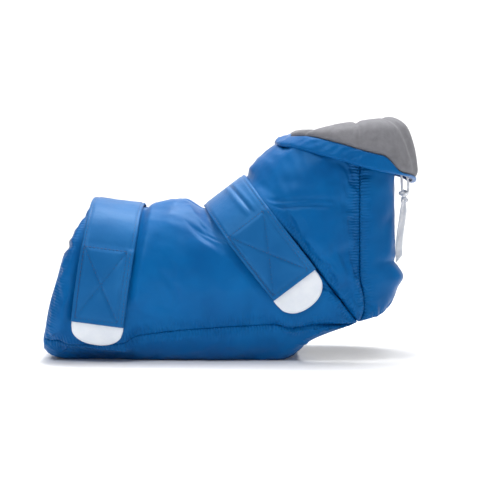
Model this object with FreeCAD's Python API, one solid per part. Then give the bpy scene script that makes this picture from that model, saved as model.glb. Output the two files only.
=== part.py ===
import FreeCAD, Part
import math
import os

os.makedirs("parts", exist_ok=True)

# Cold compression wrap for a foot and ankle: an L-shaped padded boot that lies on the calf, with the
# toes up. +X runs from the leg opening to the sole, +Z is up and the wrap is symmetric about y = 0
# apart from its straps, which fasten on the -Y side. The origin is on the flat underside.

# ---- driving dimensions, mm ------------------------------------------------------------------

# Rows of the boot, from the leg opening over the mitre at the ankle to the toe opening.
# A row is a rounded section in the plane through its front and back ends and the Y axis.
FRONT = [(-129, 141), (-95, 139), (-60, 141), (-22, 143), (13, 169), (27, 185), (41, 196), (52, 201), (62, 205)]
BACK = [(-172, 4), (-115, -0.6), (-50, -0.6), (40, -0.6), (135, 10), (152, 45), (152, 105), (151, 160), (151, 214)]
HALF_WIDTH = [72, 72, 71.5, 71.5, 71.5, 69, 67, 65, 64]
MITRE_ROW = 4
TOE_ROW = 8
FRONT_POWER = 2.4      # roundness of the front half of a section
BACK_POWER = 4.0       # the back half is squarer, flat where it rests
SLIT_HALF = 5.0        # half width of the slit down the front

# Where the long seams cross each row, as a share of the half chord from its middle to its front.
CALF_SEAM = [-0.81, -0.73, -0.61, -0.53, -0.69]
SOLE_SEAM = [-0.69, -0.44, -0.37, -0.31, -0.24]

# A padded wall, from its outer face inwards. Layers are CLEAR apart.
WALL = 17.0
COVER = 1.6
LINING = 1.2
GEL = 4.6
GEL_ROOM = 1.5         # the packs lie loose between filling and lining
CLEAR = 0.3
SEAM_SHARE = 0.002     # share of a panel left free along each of its edges
PANEL_WINDOW = ((SEAM_SHARE, 1 - SEAM_SHARE), (SEAM_SHARE, 1 - SEAM_SHARE))

# Front notch of the leg walls and the edges of the heel opening, in rows.
NOTCH_ROW = 2.83
CALF_END_ROW = 3.25
SOLE_START_ROW = 5.33
CALF_END_POWER = 6.0    # how late the calf panel's end rises beside the heel

# Toe cuff: the collar of the toe opening, turned outwards over the walls.
CUFF_THICK = 6.0
CUFF_DROP = (17.0, 52.0)     # height at the front slit and at the sole
CUFF_FLARE = (7.0, 22.0)     # how far its free edge stands off the walls
CUFF_RISE = 7.0
CUFF_BAND = 0.70             # share of its height at which the border band starts

# Straps. A strap wraps a section whose middle, run from the front, height and width are these.
STRAP_WIDTH = 48.0
BAND_IN = 1.2
BAND_OUT = 3.4
PAD_OUT = 5.4
HOOK_OUT = 2.3
STRAP_GAP = 0.35             # free gap on each side of a folding line
HOOK_ROUND = 13.0            # length of the hook tab's rounded end
LEG_STRAP = dict(run=(-0.13, -0.9915), left=-146.7, middle=-54.5, rise=73.0, fall=76.0, half_width=73.0,
                 anchor_end=-52.0, lift=-108.0, pad=-88.0, pad_end=-20.0, hook_end=1.0)
ANKLE_STRAP = dict(run=(0.604, -0.797), left=64.3, middle=-66.0, rise=58.6, fall=150.0, half_width=73.0,
                   anchor_end=-34.0, lift=-85.0, pad=-92.0, pad_end=-22.0, hook_end=2.0)

# White tie at the sole side of the cuff. The points are the routes of its loop and of its tail.
TIE_Y = -36.0
CORD_DIA = 2.2
TAPE_WIDE = 6.2
TAPE_THICK = 0.9
LOOP_ROUTE = [(156.4, 171.5), (156.9, 166.0), (157.2, 160.5), (157.6, 155.6), (158.4, 151.6), (161.0, 150.4),
              (162.9, 152.8), (163.2, 157.0), (163.0, 162.0), (162.2, 167.0), (161.4, 171.5)]
ANCHOR_BOX = (152.4, 162.2, 171.5, 186.0)     # x from, x to, z from, z to of the tab that holds the loop
ANCHOR_THICK = 3.0
TAIL_ROUTE = [(159.2, 146.5), (158.9, 139.0), (157.9, 129.5), (156.3, 119.0), (155.1, 108.0), (154.8, 98.0),
              (155.2, 92.0)]
KNOTS = {"tie_knot_upper": ((158.9, 152.3), 3.6, 4.3), "tie_knot_lower": ((159.6, 146.6), 3.1, 3.9)}


# ---- geometry helpers -----------------------------------------------------------------------

def smooth(values, position):
    """Value at a position of a list, on a cubic that passes through every entry."""
    last = len(values) - 1
    index = min(max(int(math.floor(position)), 0), last - 1)
    share = position - index
    before = values[max(index - 1, 0)]
    start, end = values[index], values[index + 1]
    after = values[min(index + 2, last)]
    slope_in = (end - before) / 2 if index > 0 else end - start
    slope_out = (after - start) / 2 if index + 1 < last else end - start
    cube, square = share ** 3, share ** 2
    return ((2 * cube - 3 * square + 1) * start + (cube - 2 * square + share) * slope_in
            + (3 * square - 2 * cube) * end + (cube - square) * slope_out)


def ease(value):
    """Smooth step from 0 to 1."""
    value = min(max(value, 0.0), 1.0)
    return value * value * (3 - 2 * value)


def mix(first, second, share):
    return first + (second - first) * share


def round_section(angle):
    """Unit section at a polar angle from its front: (share towards the front, share of half width)."""
    power = FRONT_POWER if math.cos(angle) > 0 else BACK_POWER
    radius = (abs(math.cos(angle)) ** power + abs(math.sin(angle)) ** power) ** (-1 / power)
    return radius * math.cos(angle), radius * math.sin(angle)


def angle_at_share(share):
    """Polar angle at which the unit section is this far towards its front."""
    power = FRONT_POWER if share > 0 else BACK_POWER
    return math.atan2((1 - abs(share) ** power) ** (1 / power), share)


def boot_point(row, angle):
    """Point of the boot's outer face. Angles from 0 to pi are the -Y side, from the front to the back."""
    along, aside = round_section(angle)
    front = [smooth([point[axis] for point in FRONT], row) for axis in (0, 1)]
    back = [smooth([point[axis] for point in BACK], row) for axis in (0, 1)]
    x = (front[0] + back[0]) / 2 + along * (front[0] - back[0]) / 2
    z = (front[1] + back[1]) / 2 + along * (front[1] - back[1]) / 2
    return FreeCAD.Vector(x, -aside * smooth(HALF_WIDTH, row), z)


def slit_angle(row):
    return math.asin(SLIT_HALF / smooth(HALF_WIDTH, row))


def seam_angle(row):
    """Angle of the calf seam on the leg and of the sole seam on the foot."""
    if row <= MITRE_ROW:
        return angle_at_share(smooth(CALF_SEAM, row))
    return angle_at_share(smooth(SOLE_SEAM, row - MITRE_ROW))


def face_normal(face, across, along):
    """Outward unit normal of a face given as a function of two shares."""
    step = 1e-3
    low_a, high_a = max(across - step, 0), min(across + step, 1)
    low_b, high_b = max(along - step, 0), min(along + step, 1)
    side = face(high_a, along) - face(low_a, along)
    length = face(across, high_b) - face(across, low_b)
    normal = side.cross(length)
    return normal.normalize()


def sunk(face, turn=1):
    """A face as a function of its two shares and of a depth below it, along its normal."""
    def point_at(across, along, depth):
        return face(across, along) - face_normal(face, across, along) * (turn * depth)
    return point_at


def depth_grid(point_at, depth, window, counts):
    """Points at one depth over a window of the two shares."""
    (a_low, a_high), (b_low, b_high) = window
    grid = []
    for i in range(counts[0]):
        across = mix(a_low, a_high, i / (counts[0] - 1))
        alongs = [mix(b_low, b_high, j / (counts[1] - 1)) for j in range(counts[1])]
        grid.append([point_at(across, along, depth) for along in alongs])
    return grid


def surface_over(net):
    """Smooth surface that a net of points pulls into shape. It passes through the net's corners."""
    degree = 3
    knots = []
    counts = []
    for size in (len(net), len(net[0])):
        spans = size - degree
        knots.append([index / spans for index in range(spans + 1)])
        counts.append([degree + 1] + [1] * (spans - 1) + [degree + 1])
    surface = Part.BSplineSurface()
    surface.buildFromPolesMultsKnots(net, counts[0], counts[1], knots[0], knots[1], False, False, degree, degree)
    return surface


def border_edges(surface):
    low_u, high_u, low_v, high_v = surface.bounds()
    curves = [surface.uIso(low_u), surface.uIso(high_u), surface.vIso(low_v), surface.vIso(high_v)]
    return [curve.toShape() for curve in curves]


def layer(point_at, depths, window=PANEL_WINDOW, counts=(15, 15)):
    """Closed solid between two depths."""
    surfaces = [surface_over(depth_grid(point_at, depth, window, counts)) for depth in depths]
    faces = [surface.toShape() for surface in surfaces]
    for outer, inner in zip(border_edges(surfaces[0]), border_edges(surfaces[1])):
        faces.append(Part.makeRuledSurface(outer, inner))
    shell = Part.makeShell(faces)
    shell.sewShape()
    solid = Part.makeSolid(shell)
    if solid.Volume < 0:
        solid.reverse()
    return solid


# ---- faces of the boot's panels ---------------------------------------------------------------

def leg_wall_face(side):
    """Leg wall from the front slit to the calf seam, with a notch at the bend of the ankle."""
    def face(across, along):
        end_row = mix(NOTCH_ROW, MITRE_ROW, ease((across - 0.30) / 0.32))
        row = along * end_row
        angle = mix(slit_angle(row), seam_angle(row), across)
        return boot_point(row, side * angle)
    return face


def foot_wall_face(side):
    """Foot wall from the front slit to the sole seam, from the mitre to the toe opening."""
    def face(across, along):
        row = mix(MITRE_ROW, TOE_ROW, along)
        seam = angle_at_share(smooth(SOLE_SEAM, row - MITRE_ROW))
        return boot_point(row, side * mix(slit_angle(row), seam, across))
    return face


def calf_face(across, along):
    """Calf panel between the two calf seams, under the leg. Its end rises beside the heel."""
    spread = abs(2 * across - 1)
    row = along * mix(CALF_END_ROW, MITRE_ROW, spread ** CALF_END_POWER)
    seam = seam_angle(row)
    return boot_point(row, mix(seam, 2 * math.pi - seam, across))


def sole_face(across, along):
    """Sole gusset between the two sole seams. Its lower edge arches over the heel."""
    spread = abs(2 * across - 1)
    row = mix(mix(SOLE_START_ROW, MITRE_ROW, spread ** 2), TOE_ROW, along)
    seam = angle_at_share(smooth(SOLE_SEAM, row - MITRE_ROW))
    return boot_point(row, mix(seam, 2 * math.pi - seam, across))


# Each panel: its points by depth, and the windows of its gel packs.
LEG_PACKS = [((0.08, 0.92), (0.05, 0.34)), ((0.08, 0.92), (0.37, 0.66))]
FOOT_PACKS = [((0.10, 0.92), (0.08, 0.46)), ((0.10, 0.92), (0.50, 0.93))]
CALF_PACKS = [((0.07, 0.93), (0.05, 0.32)), ((0.07, 0.93), (0.35, 0.62)), ((0.07, 0.93), (0.65, 0.92))]
SOLE_PACKS = [((0.10, 0.90), (0.06, 0.48)), ((0.10, 0.90), (0.52, 0.93))]
PANELS = {
    "leg_wall_near": (sunk(leg_wall_face(1)), LEG_PACKS),
    "leg_wall_far": (sunk(leg_wall_face(-1), -1), LEG_PACKS),
    "foot_wall_near": (sunk(foot_wall_face(1)), FOOT_PACKS),
    "foot_wall_far": (sunk(foot_wall_face(-1), -1), FOOT_PACKS),
    "calf_panel": (sunk(calf_face), CALF_PACKS),
    "sole_gusset": (sunk(sole_face), SOLE_PACKS),
}


def padded_panel(point_at, packs):
    """Cover, filling, gel packs and lining of one padded panel."""
    gel_out = WALL - LINING - GEL_ROOM - GEL
    solids = [layer(point_at, (gel_out, gel_out + GEL), window, (11, 11)) for window in packs]
    return {
        "cover": layer(point_at, (0, COVER)),
        "filling": layer(point_at, (COVER + CLEAR, gel_out - GEL_ROOM)),
        "gel_packs": Part.makeCompound(solids),
        "lining": layer(point_at, (WALL - LINING, WALL)),
    }


# ---- toe cuff ---------------------------------------------------------------------------------

def cuff_point(across, along, depth):
    """Point of the turned cuff, from the fold on top of the walls down to its free edge."""
    angle = mix(slit_angle(TOE_ROW), 2 * math.pi - slit_angle(TOE_ROW), across)
    point = boot_point(TOE_ROW, angle)
    wall_up = (point - boot_point(TOE_ROW - 0.2, angle)).normalize()
    turn = 1e-3
    around = boot_point(TOE_ROW, angle + turn) - boot_point(TOE_ROW, angle - turn)
    outward = around.cross(wall_up).normalize()
    reach = math.sin(math.pi * across)
    drop = mix(CUFF_DROP[0], CUFF_DROP[1], reach ** 3)
    flare = mix(CUFF_FLARE[0], CUFF_FLARE[1], reach ** 2)
    outs = [-0.5 * WALL, 1.5 + 0.55 * flare, 0.9 * flare, flare]
    ups = [CUFF_RISE, 0.5 * CUFF_RISE, -0.45 * drop, -drop]
    step = 1e-3
    slope_out = smooth(outs, 3 * along + step) - smooth(outs, 3 * along - step)
    slope_up = smooth(ups, 3 * along + step) - smooth(ups, 3 * along - step)
    length = math.hypot(slope_out, slope_up)
    out = smooth(outs, 3 * along) + depth * slope_up / length
    up = smooth(ups, 3 * along) - depth * slope_out / length
    return point + outward * out + wall_up * up


def toe_cuff():
    """Lining, filling, shell and border band of the turned cuff."""
    body = ((SEAM_SHARE, 1 - SEAM_SHARE), (SEAM_SHARE, CUFF_BAND))
    border = ((SEAM_SHARE, 1 - SEAM_SHARE), (CUFF_BAND + SEAM_SHARE, 1))
    grid = (25, 7)
    shell_from = CUFF_THICK - LINING
    return {
        "toe_cuff_lining": layer(cuff_point, (0, LINING), body, grid),
        "toe_cuff_filling": layer(cuff_point, (LINING + CLEAR, shell_from - CLEAR), body, grid),
        "toe_cuff_shell": layer(cuff_point, (shell_from, CUFF_THICK), body, grid),
        "toe_cuff_band": layer(cuff_point, (0, CUFF_THICK), border, grid),
    }


# ---- straps -----------------------------------------------------------------------------------

def strap_point(strap, angle, across):
    """Point of the face that a strap wraps. Negative angles are the +Y side."""
    along, aside = round_section(angle)
    run = strap["middle"] - along * (strap["rise"] if along > 0 else strap["fall"])
    run_x, run_z = strap["run"]
    return FreeCAD.Vector(run_x * run - run_z * across, -aside * strap["half_width"], run_z * run + run_x * across)


def strap_angle(strap, run):
    """Angle at which a strap reaches a distance along its run."""
    share = strap["middle"] - run
    return angle_at_share(share / (strap["rise"] if share > 0 else strap["fall"]))


def strap_face(strap, first, last, round_end=0.0):
    """Face of a strap between two angles, with an optional rounded end."""
    def face(across, along):
        side = abs(2 * across - 1)
        cut = round_end * (1 - math.sqrt(max(1 - side ** 2.6, 0.0)))
        return strap_point(strap, mix(first, last - cut, along), strap["left"] + STRAP_WIDTH * across)
    return face


def strap_piece(strap, first, last, depths, round_end=0.0):
    """Solid of a strap between two angles and two heights above the face it wraps."""
    heights = [-height for height in depths]
    whole = ((0, 1), (0, 1))
    return layer(sunk(strap_face(strap, first, last, round_end), -1), heights, whole, (9, 13))


def fold_point(strap, angle, height):
    """Middle of the folding line at an angle of a strap, at a height above the face it wraps."""
    middle = strap["left"] + STRAP_WIDTH / 2
    here = strap_point(strap, angle, middle)
    ahead = strap_point(strap, angle + 1e-4, middle)
    along = (ahead - here).normalize()
    width_way = FreeCAD.Vector(-strap["run"][1], 0, strap["run"][0])
    outward = along.cross(width_way)
    return here + outward * height


def strap_set(name, strap):
    """Sewn anchor, band over the front, stitched pad, hook tab and the landing patch below it."""
    lift = -strap_angle(strap, strap["lift"])
    pad = strap_angle(strap, strap["pad"])
    gap = STRAP_GAP / strap["half_width"]
    pad_end = strap_angle(strap, strap["pad_end"])
    hook_end = strap_angle(strap, strap["hook_end"])
    hook_start = mix(pad, pad_end, 0.15)
    curve = HOOK_ROUND / strap["fall"]
    for fold, angle, height in (("lift", lift, BAND_OUT), ("peel", pad, PAD_OUT)):
        point = fold_point(strap, angle, height)
        print(name, fold, [round(value, 3) for value in point])
    pad_in = HOOK_OUT + CLEAR
    return {
        name + "_anchor": strap_piece(strap, -strap_angle(strap, strap["anchor_end"]), lift - gap, (0.4, BAND_OUT)),
        name + "_band": strap_piece(strap, lift + gap, pad - gap, (BAND_IN, BAND_OUT)),
        name + "_pad": strap_piece(strap, pad + gap, pad_end, (pad_in, PAD_OUT)),
        name + "_hook_tab": strap_piece(strap, hook_start, hook_end, (BAND_IN, HOOK_OUT), curve),
        name + "_loop_patch": strap_piece(strap, mix(pad, pad_end, 0.2), mix(pad, pad_end, 0.95), (0.1, 0.8)),
    }


# ---- tie --------------------------------------------------------------------------------------

def route_path(route, name):
    """Straight runs joined by tangent arcs, each as large as its two runs allow."""
    points = [FreeCAD.Vector(x, TIE_Y, z) for x, z in route]
    edges = []
    radii = []
    start = points[0]
    for before, corner, after in zip(points, points[1:], points[2:]):
        run_in, run_out = corner - before, after - corner
        half_turn = run_in.getAngle(run_out) / 2
        cut = 0.45 * min(run_in.Length, run_out.Length)
        radii.append(round(cut / math.tan(half_turn), 1))
        way_in, way_out = run_in.normalize(), run_out.normalize()
        arc_start, arc_end = corner - way_in * cut, corner + way_out * cut
        inside = (way_out - way_in).normalize()
        middle = corner + inside * (cut * (1 - math.cos(half_turn)) / math.sin(half_turn))
        edges.append(Part.LineSegment(start, arc_start).toShape())
        edges.append(Part.Arc(arc_start, middle, arc_end).toShape())
        start = arc_end
    edges.append(Part.LineSegment(start, points[-1]).toShape())
    path = Part.Wire(edges)
    print(name, "length", round(path.Length, 1), "radii", radii)
    return path


def sweep(path, section, area, name):
    solid = path.makePipeShell([section], True, False)
    print(name, "volume", round(solid.Volume, 1), "section times length", round(area * path.Length, 1))
    return solid


def tie_loop():
    path = route_path(LOOP_ROUTE, "tie_loop")
    start = FreeCAD.Vector(LOOP_ROUTE[0][0], TIE_Y, LOOP_ROUTE[0][1])
    direction = FreeCAD.Vector(LOOP_ROUTE[1][0], TIE_Y, LOOP_ROUTE[1][1]) - start
    circle = Part.Wire([Part.makeCircle(CORD_DIA / 2, start, direction)])
    return sweep(path, circle, math.pi * CORD_DIA ** 2 / 4, "tie_loop")


def tie_tail():
    path = route_path(TAIL_ROUTE, "tie_tail")
    start = FreeCAD.Vector(TAIL_ROUTE[0][0], TIE_Y, TAIL_ROUTE[0][1])
    direction = (FreeCAD.Vector(TAIL_ROUTE[1][0], TIE_Y, TAIL_ROUTE[1][1]) - start).normalize()
    wide = FreeCAD.Vector(0, 1, 0).cross(direction).normalize()
    thick = FreeCAD.Vector(0, 1, 0)
    corners = []
    for side, face in ((-1, -1), (1, -1), (1, 1), (-1, 1)):
        corners.append(start + wide * (side * TAPE_WIDE / 2) + thick * (face * TAPE_THICK / 2))
    section = Part.makePolygon(corners + corners[:1])
    return sweep(path, section, TAPE_WIDE * TAPE_THICK, "tie_tail")


def tie_anchor():
    """Sewn tab between the sole gusset and the cuff. The loop hangs out of its lower edge."""
    x_from, x_to, z_from, z_to = ANCHOR_BOX
    corner = FreeCAD.Vector(x_from, TIE_Y - ANCHOR_THICK / 2, z_from)
    tab = Part.makeBox(x_to - x_from, ANCHOR_THICK, z_to - z_from, corner)
    upright = [edge for edge in tab.Edges if abs(edge.Vertexes[0].Z - edge.Vertexes[-1].Z) > 1]
    return tab.makeFillet(ANCHOR_THICK / 3, upright)


def tie_knot(place, half_height, half_width):
    knot = Part.makeSphere(1.0)
    stretch = FreeCAD.Matrix()
    stretch.scale(half_width, half_width * 0.8, half_height)
    knot = knot.transformGeometry(stretch)
    knot.translate(FreeCAD.Vector(place[0], TIE_Y, place[1]))
    return knot


# ---- the whole wrap ---------------------------------------------------------------------------

def build():
    nodes = {}
    for name, (point_at, packs) in PANELS.items():
        for piece, solid in padded_panel(point_at, packs).items():
            nodes[name + "_" + piece] = solid
    nodes.update(toe_cuff())
    nodes.update(strap_set("leg_strap", LEG_STRAP))
    nodes.update(strap_set("ankle_strap", ANKLE_STRAP))
    nodes["tie_anchor"] = tie_anchor()
    nodes["tie_loop"] = tie_loop()
    nodes["tie_tail"] = tie_tail()
    for name, (place, half_height, half_width) in KNOTS.items():
        nodes[name] = tie_knot(place, half_height, half_width)
    under_floor = Part.makeBox(600, 400, 60, FreeCAD.Vector(-300, -200, -60))
    nodes["calf_panel_cover"] = nodes["calf_panel_cover"].cut(under_floor)
    return nodes


for node, shape in build().items():
    if not shape.isValid() or shape.Volume <= 0:
        print("CHECK", node, shape.isValid(), round(shape.Volume, 1))
    box = shape.BoundBox
    print(node, [round(value, 1) for value in (box.XMin, box.XMax, box.YMin, box.YMax, box.ZMin, box.ZMax)])
    shape.exportStep("parts/" + node + ".step")
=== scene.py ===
import math

import bmesh
import bpy
import numpy as np
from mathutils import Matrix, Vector


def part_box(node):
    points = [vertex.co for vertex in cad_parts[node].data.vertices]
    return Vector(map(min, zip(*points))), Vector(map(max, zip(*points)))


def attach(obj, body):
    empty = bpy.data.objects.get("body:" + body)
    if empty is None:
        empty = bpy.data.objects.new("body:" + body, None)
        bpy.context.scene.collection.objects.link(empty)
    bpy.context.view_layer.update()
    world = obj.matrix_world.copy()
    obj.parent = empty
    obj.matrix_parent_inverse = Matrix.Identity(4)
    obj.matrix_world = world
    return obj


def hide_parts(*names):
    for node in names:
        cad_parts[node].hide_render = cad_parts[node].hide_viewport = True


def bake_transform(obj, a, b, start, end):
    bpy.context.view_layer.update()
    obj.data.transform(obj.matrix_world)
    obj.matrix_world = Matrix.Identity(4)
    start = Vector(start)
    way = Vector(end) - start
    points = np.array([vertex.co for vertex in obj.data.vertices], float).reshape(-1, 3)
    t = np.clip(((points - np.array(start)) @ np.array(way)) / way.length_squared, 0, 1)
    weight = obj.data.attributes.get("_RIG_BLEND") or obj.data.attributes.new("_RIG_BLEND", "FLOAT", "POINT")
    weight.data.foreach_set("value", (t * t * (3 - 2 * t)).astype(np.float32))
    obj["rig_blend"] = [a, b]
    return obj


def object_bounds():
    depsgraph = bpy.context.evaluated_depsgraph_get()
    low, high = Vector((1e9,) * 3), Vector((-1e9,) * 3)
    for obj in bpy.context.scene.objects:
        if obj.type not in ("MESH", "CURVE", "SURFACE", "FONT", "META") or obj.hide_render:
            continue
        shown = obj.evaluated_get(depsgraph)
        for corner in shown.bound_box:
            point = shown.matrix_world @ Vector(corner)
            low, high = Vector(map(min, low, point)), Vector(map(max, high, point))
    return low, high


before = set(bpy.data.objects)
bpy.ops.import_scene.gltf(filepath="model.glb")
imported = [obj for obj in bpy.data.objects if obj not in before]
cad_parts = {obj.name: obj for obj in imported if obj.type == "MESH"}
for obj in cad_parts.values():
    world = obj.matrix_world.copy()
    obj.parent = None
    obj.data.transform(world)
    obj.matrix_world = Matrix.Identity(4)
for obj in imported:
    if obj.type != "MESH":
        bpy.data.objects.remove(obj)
CAD_BOX = [list(corner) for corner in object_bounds()]

MM = 0.001
TINY = 1e-6

# ---- the boot's driving sizes, mm: rows of rounded sections from the leg opening to the toes ----
FRONT = [(-129, 141), (-95, 139), (-60, 141), (-22, 143), (13, 169), (27, 185), (41, 196), (52, 201),
         (62, 205)]
BACK = [(-172, 4), (-115, -0.6), (-50, -0.6), (40, -0.6), (135, 10), (152, 45), (152, 105), (151, 160),
        (151, 214)]
HALF_WIDTH = [72, 72, 71.5, 71.5, 71.5, 69, 67, 65, 64]
CALF_SEAM = [-0.81, -0.73, -0.61, -0.53, -0.69]
SOLE_SEAM = [-0.69, -0.44, -0.37, -0.31, -0.24]
MITRE_ROW = 4.0
TOE_ROW = 8.0
NOTCH_ROW = 3.1
TONGUE_ROW = 3.66
CALF_END_ROW = 3.25
SOLE_START_ROW = 5.33
CALF_END_POWER = 6.0
FRONT_POWER = 2.4
BACK_POWER = 4.0
SLIT_HALF = 5.0
WALL = 17.0

# Padded walls: how deep the seams and the free edges lie below the puffed face, and how wide they roll.
SEAM_DEPTH = 5.6
EDGE_DEPTH = 8.0
SEAM_ROLL = 15.0
EDGE_ROLL = 17.0
NOTCH_ROLL = 9.0
GRID_STEP = 3.6
CROWDING = 0.35
SEAM_GAP = 0.55
# How far the middle of each padded face stands below the boot's outer face (above it where negative).
PANEL_CROWN = {"leg_wall_near": -2.0, "leg_wall_far": -2.0, "foot_wall_near": -2.5, "foot_wall_far": -2.5,
               "calf_panel": -0.2, "sole_gusset": 1.2}
# Creases of the foot walls: height, depth, width.
CREASES = ((141.5, 2.3, 1.6), (147.0, 1.5, 2.0))

CUFF_DROP = (17.0, 52.0)
CUFF_FLARE = (7.0, 22.0)
CORNER_DROP = 6.0
CUFF_RISE = 7.0
CUFF_TUCK = -9.0
BORDER_TALL = 15.0
CUFF_THICK = 6.0

STRAP_WIDTH = 48.0
BAND_IN = 1.2
BAND_OUT = 3.4
PAD_IN = 2.45
PAD_OUT = 5.0
LEG_STRAP = dict(name="leg_strap", run=(-0.13, -0.9915), left=-146.7, middle=-54.5, rise=73.0, fall=76.0,
                 half_width=73.0, anchor_end=-52.0, lift=-108.0, pad=-88.0, pad_end=-20.0, hook_end=1.0)
ANKLE_STRAP = dict(name="ankle_strap", run=(0.604, -0.797), left=64.3, middle=-66.0, rise=58.6, fall=150.0,
                   half_width=73.0, anchor_end=-34.0, lift=-85.0, pad=-92.0, pad_end=-22.0, hook_end=2.0)

# How the straps sit in the padding, mm: reach of a press and of a rise beside a strap, the gap that a rise
# leaves, and the deepest gap that it fills.
PRESS_REACH = 9.0
RISE_REACH = 12.0
RISE_SHORT = 0.4
RISE_MOST = 7.0

# Tie under the cuff: the routes of its loop and tail, mm.
TIE_Y = -36.0
LOOP_ROUTE = [(156.4, 171.5), (156.9, 166.0), (157.2, 160.5), (157.6, 155.6), (158.4, 151.6), (161.0, 150.4),
              (162.9, 152.8), (163.2, 157.0), (163.0, 162.0), (162.2, 167.0), (161.4, 171.5)]
TAIL_ROUTE = [(159.2, 146.5), (158.9, 139.0), (157.9, 129.5), (156.3, 119.0), (155.1, 108.0), (154.8, 98.0),
              (155.2, 92.0)]
CORD_DIA = 2.2
TAPE_WIDE = 6.2


# ---- camera and light ---------------------------------------------------------------------------

LENS = 110.0
SENSOR = 36.0
FIELD = 0.4416
CAMERA_RISE = 3.0
VIEW_X = 0.0085
VIEW_Z = 0.1095
# Lights: place, target, size and power.
LIGHTS = {
    "key": ((-0.55, -0.75, 1.15), (0, 0, 0.1), (0.6, 0.6), 8),
    "top": ((0.15, 0.15, 1.25), (0, 0, 0.1), (1.0, 0.6), 16),
    "fill": ((0.9, -0.9, 0.45), (0.05, 0, 0.12), (0.8, 0.8), 1.2),
    "backdrop": ((0, 0.75, 2.2), (0, 2.0, 0.5), (3.0, 1.0), 42),
}
WORLD_STRENGTH = 0.36
FLOOR_DROP = 0.0002
SWEEP_RADIUS = 0.8


def add_object(name, data):
    """New object in the scene."""
    made = bpy.data.objects.new(name, data)
    bpy.context.scene.collection.objects.link(made)
    return made


def aim(made, place, target):
    """Put a camera or light at a place, looking at a target."""
    made.location = place
    made.rotation_euler = (Vector(target) - Vector(place)).to_track_quat("-Z", "Y").to_euler()


def add_camera():
    """Level side view from the -Y side, a little above the middle of the wrap."""
    target = Vector((VIEW_X, CAD_BOX[0][1] * 0.45, VIEW_Z))
    distance = FIELD * LENS / SENSOR
    rise = math.radians(CAMERA_RISE)
    place = target + Vector((0, -math.cos(rise), math.sin(rise))) * distance
    data = bpy.data.cameras.new("camera")
    data.lens = LENS
    data.sensor_width = SENSOR
    camera = add_object("camera", data)
    aim(camera, place, target)
    bpy.context.scene.camera = camera


def add_area_light(name, place, target, size, power):
    data = bpy.data.lights.new(name, "AREA")
    data.shape = "RECTANGLE"
    data.size, data.size_y = size
    data.energy = power
    aim(add_object(name, data), place, target)


def add_studio():
    """Pale floor that sweeps up behind, a white world and large soft lights."""
    world = bpy.data.worlds.new("studio")
    world.use_nodes = True
    background = world.node_tree.nodes["Background"]
    background.inputs["Color"].default_value = (1, 1, 1, 1)
    background.inputs["Strength"].default_value = WORLD_STRENGTH
    bpy.context.scene.world = world
    bpy.context.scene.view_settings.view_transform = "Standard"
    for name, (place, target, size, power) in LIGHTS.items():
        add_area_light(name, place, target, size, power)
    floor = bpy.data.meshes.new("floor")
    flat, back, rise, turn = 4.0, 1.2, 3.0, 12
    profile = [(-flat, 0.0), (back, 0.0)]
    for step in range(1, turn + 1):
        angle = math.pi / 2 * step / turn
        profile.append((back + math.sin(angle) * SWEEP_RADIUS,
                        SWEEP_RADIUS - math.cos(angle) * SWEEP_RADIUS))
    profile.append((back + SWEEP_RADIUS, rise))
    vertices = [(side * flat, y, z - FLOOR_DROP) for y, z in profile for side in (-1, 1)]
    faces = [(2 * i, 2 * i + 1, 2 * i + 3, 2 * i + 2) for i in range(len(profile) - 1)]
    floor.from_pydata(vertices, [], faces)
    floor.shade_smooth()
    sweep = add_object("floor", floor)
    floor.materials.append(floor_material())


# ---- materials ------------------------------------------------------------------------------------

class Shader:
    """Short way to build a Principled material from linked nodes."""

    def __init__(self, name, color, roughness, **sockets):
        self.material = bpy.data.materials.new(name)
        self.material.use_nodes = True
        self.tree = self.material.node_tree
        self.surface = self.tree.nodes["Principled BSDF"]
        self.surface.inputs["Base Color"].default_value = (*color, 1)
        self.surface.inputs["Roughness"].default_value = roughness
        for socket, value in sockets.items():
            self.surface.inputs[socket.replace("_", " ")].default_value = value

    def node(self, kind, links=(), **values):
        """New node; links maps its inputs to other nodes' outputs, values set its other inputs."""
        made = self.tree.nodes.new(kind)
        for name, value in values.items():
            if hasattr(made, name):
                setattr(made, name, value)
            else:
                made.inputs[name.replace("_", " ")].default_value = value
        for socket, output in links:
            self.tree.links.new(output, made.inputs[socket])
        return made

    def coordinates(self, kind, scale):
        """Texture coordinates of a kind, stretched."""
        source = self.node("ShaderNodeTexCoord")
        return self.node("ShaderNodeMapping", [("Vector", source.outputs[kind])], Scale=scale).outputs[0]

    def blend_color(self, factor, low, high, spread=(0.3, 0.7)):
        """Ramp from one colour to another by a factor."""
        ramp = self.node("ShaderNodeValToRGB", [("Fac", factor)])
        ramp.color_ramp.elements[0].position, ramp.color_ramp.elements[1].position = spread
        ramp.color_ramp.elements[0].color = (*low, 1)
        ramp.color_ramp.elements[1].color = (*high, 1)
        return ramp.outputs["Color"]

    def bump(self, heights):
        """Chain of bumps: (height output, strength, distance in metres)."""
        normal = None
        for height, strength, distance in heights:
            links = [("Height", height)] + ([("Normal", normal)] if normal else [])
            normal = self.node("ShaderNodeBump", links, Strength=strength, Distance=distance).outputs[0]
        self.tree.links.new(normal, self.surface.inputs["Normal"])

    def link(self, socket, output):
        self.tree.links.new(output, self.surface.inputs[socket])


def ramp_value(shader, factor, low, high):
    """Map a factor from 0..1 to a range of values."""
    made = shader.node("ShaderNodeMapRange", [("Value", factor)])
    made.inputs["To Min"].default_value = low
    made.inputs["To Max"].default_value = high
    return made.outputs[0]


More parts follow.
